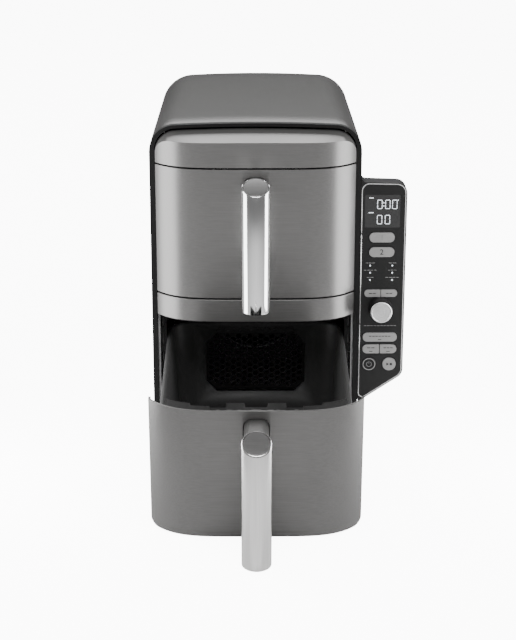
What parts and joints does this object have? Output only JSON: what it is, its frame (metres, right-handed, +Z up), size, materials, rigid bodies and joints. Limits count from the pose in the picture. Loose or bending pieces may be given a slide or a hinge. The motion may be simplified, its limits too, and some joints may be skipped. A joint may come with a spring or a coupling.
{
  "type": "air fryer",
  "caption": "Upright air fryer with stacked bowed drawers that slide out and tip, round vertical bar handles, and a side control panel with push buttons and a dial.",
  "frame": {"origin": "middle of the whole object's box, panel and pulled-out drawer included, at floor level", "axes": "+Z up, +Y from the drawers to the back, +X to the control panel's side"},
  "size_m": [0.28, 0.6136, 0.385],
  "materials": {
    "shell_grey": "satin metallic grey",
    "cover_grey": "satin metallic grey paint on a moulded cover",
    "black_plastic": "fine satin moulding",
    "black_gloss": "clear gloss over a dark display",
    "dark_coating": "dark non-stick coating",
    "brushed_metal": "brushed",
    "cap_grey": "satin grey",
    "trim_grey": "satin light grey",
    "button_grey": "satin silver grey",
    "steel": "plain sheet and tube",
    "board_green": "circuit board",
    "rubber": "matt black"
  },
  "bodies": {
    "cabinet": {"base_plate": "black_plastic", "control_board": "board_green", "cord_gland": "rubber", "dial_encoder": "steel", "display_window": "black_gloss", "foot_front_left": "rubber", "foot_front_right": "rubber", "foot_rear_left": "rubber", "foot_rear_right": "rubber", "front_bezel": "black_plastic", "hood_fascia": "cover_grey", "lower_cavity_liner": "dark_coating", "lower_fan_motor": "steel", "lower_heater": "steel", "lower_rear_grille": "steel", "middle_band": "cover_grey", "outer_shell": "shell_grey", "panel_face": "black_plastic", "panel_housing": "black_plastic", "power_board": "board_green", "rear_cover": "black_plastic", "side_trim_left": "trim_grey", "side_trim_right": "trim_grey", "upper_cavity_liner": "dark_coating", "upper_fan_motor": "steel", "upper_heater": "steel", "upper_rear_grille": "steel"},
    "dial": {"dial_knob": "brushed_metal"},
    "lower_drawer": {"lower_basket": "dark_coating", "lower_drawer_backing": "black_plastic", "lower_drawer_front": "cover_grey", "lower_handle_bar": "brushed_metal", "lower_handle_cap": "cap_grey", "lower_handle_stem_bottom": "cap_grey", "lower_handle_stem_top": "cap_grey"},
    "lower_crisper": {"lower_crisper_plate": "dark_coating"},
    "lower_fan_wheel": {"lower_fan": "steel"},
    "lower_glide": {"lower_rear_glide": "rubber"},
    "match_button_cap": {"match_button": "button_grey"},
    "power_button_cap": {"power_button": "button_grey"},
    "stack_button_cap": {"stack_button": "button_grey"},
    "start_button_cap": {"start_button": "button_grey"},
    "sync_button_cap": {"sync_button": "button_grey"},
    "temperature_button_cap": {"temperature_button": "button_grey"},
    "time_button_cap": {"time_button": "button_grey"},
    "upper_drawer": {"upper_basket": "dark_coating", "upper_drawer_backing": "black_plastic", "upper_drawer_front": "cover_grey", "upper_handle_bar": "brushed_metal", "upper_handle_cap": "cap_grey", "upper_handle_stem_bottom": "cap_grey", "upper_handle_stem_top": "cap_grey"},
    "upper_crisper": {"upper_crisper_plate": "dark_coating"},
    "upper_fan_wheel": {"upper_fan": "steel"},
    "upper_glide": {"upper_rear_glide": "rubber"},
    "zone_one_button_cap": {"zone_one_button": "button_grey"},
    "zone_two_button_cap": {"zone_two_button": "button_grey"}
  },
  "joints": [
    {"name": "upper_drawer_slide", "type": "slide", "parent": "cabinet", "child": "upper_glide", "axis": [0, -1, 0], "range_m": [0, 0.18775]},
    {"name": "upper_drawer_tip", "type": "hinge", "parent": "upper_glide", "child": "upper_drawer", "pos_m": [-0.0251, 0.23655, 0.2014], "axis": [1, 0, 0], "range_deg": [0, 5]},
    {"name": "upper_crisper_lift", "type": "slide", "parent": "upper_drawer", "child": "upper_crisper", "axis": [0, 0, 1], "range_m": [0, 0.07]},
    {"name": "upper_fan_spin", "type": "hinge", "parent": "cabinet", "child": "upper_fan_wheel", "pos_m": [-0.0251, 0.26235, 0.26865], "axis": [0, 1, 0], "continuous": true},
    {"name": "lower_drawer_slide", "type": "slide", "parent": "cabinet", "child": "lower_glide", "axis": [0, 1, 0], "range_m": [0, 0.18775]},
    {"name": "lower_drawer_tip", "type": "hinge", "parent": "lower_glide", "child": "lower_drawer", "pos_m": [-0.0251, 0.0488, 0.029], "axis": [-1, 0, 0], "range_deg": [0, 5]},
    {"name": "lower_crisper_lift", "type": "slide", "parent": "lower_drawer", "child": "lower_crisper", "axis": [0, -0.0872, 0.9962], "range_m": [0, 0.07]},
    {"name": "lower_fan_spin", "type": "hinge", "parent": "cabinet", "child": "lower_fan_wheel", "pos_m": [-0.0251, 0.26235, 0.09625], "axis": [0, 1, 0], "continuous": true},
    {"name": "dial_turn", "type": "hinge", "parent": "cabinet", "child": "dial", "pos_m": [0.1134, -0.01195, 0.1759], "axis": [0, -1, 0], "continuous": true},
    {"name": "match_press", "type": "slide", "parent": "cabinet", "child": "match_button_cap", "axis": [0, 1, 0], "range_m": [0, 0.001], "stiffness_N_per_m": 400},
    {"name": "power_press", "type": "slide", "parent": "cabinet", "child": "power_button_cap", "axis": [0, 1, 0], "range_m": [0, 0.001], "stiffness_N_per_m": 400},
    {"name": "stack_press", "type": "slide", "parent": "cabinet", "child": "stack_button_cap", "axis": [0, 1, 0], "range_m": [0, 0.001], "stiffness_N_per_m": 400},
    {"name": "start_press", "type": "slide", "parent": "cabinet", "child": "start_button_cap", "axis": [0, 1, 0], "range_m": [0, 0.001], "stiffness_N_per_m": 400},
    {"name": "sync_press", "type": "slide", "parent": "cabinet", "child": "sync_button_cap", "axis": [0, 1, 0], "range_m": [0, 0.001], "stiffness_N_per_m": 400},
    {"name": "temperature_press", "type": "slide", "parent": "cabinet", "child": "temperature_button_cap", "axis": [0, 1, 0], "range_m": [0, 0.001], "stiffness_N_per_m": 400},
    {"name": "time_press", "type": "slide", "parent": "cabinet", "child": "time_button_cap", "axis": [0, 1, 0], "range_m": [0, 0.001], "stiffness_N_per_m": 400},
    {"name": "zone_one_press", "type": "slide", "parent": "cabinet", "child": "zone_one_button_cap", "axis": [0, 1, 0], "range_m": [0, 0.001], "stiffness_N_per_m": 400},
    {"name": "zone_two_press", "type": "slide", "parent": "cabinet", "child": "zone_two_button_cap", "axis": [0, 1, 0], "range_m": [0, 0.001], "stiffness_N_per_m": 400}
  ],
  "couplings": [
    {"joint": "upper_drawer_tip", "follows": "upper_drawer_slide", "rad_per_m": 0.4647},
    {"joint": "lower_drawer_tip", "follows": "lower_drawer_slide", "rad_per_m": 0.4647}
  ]
}
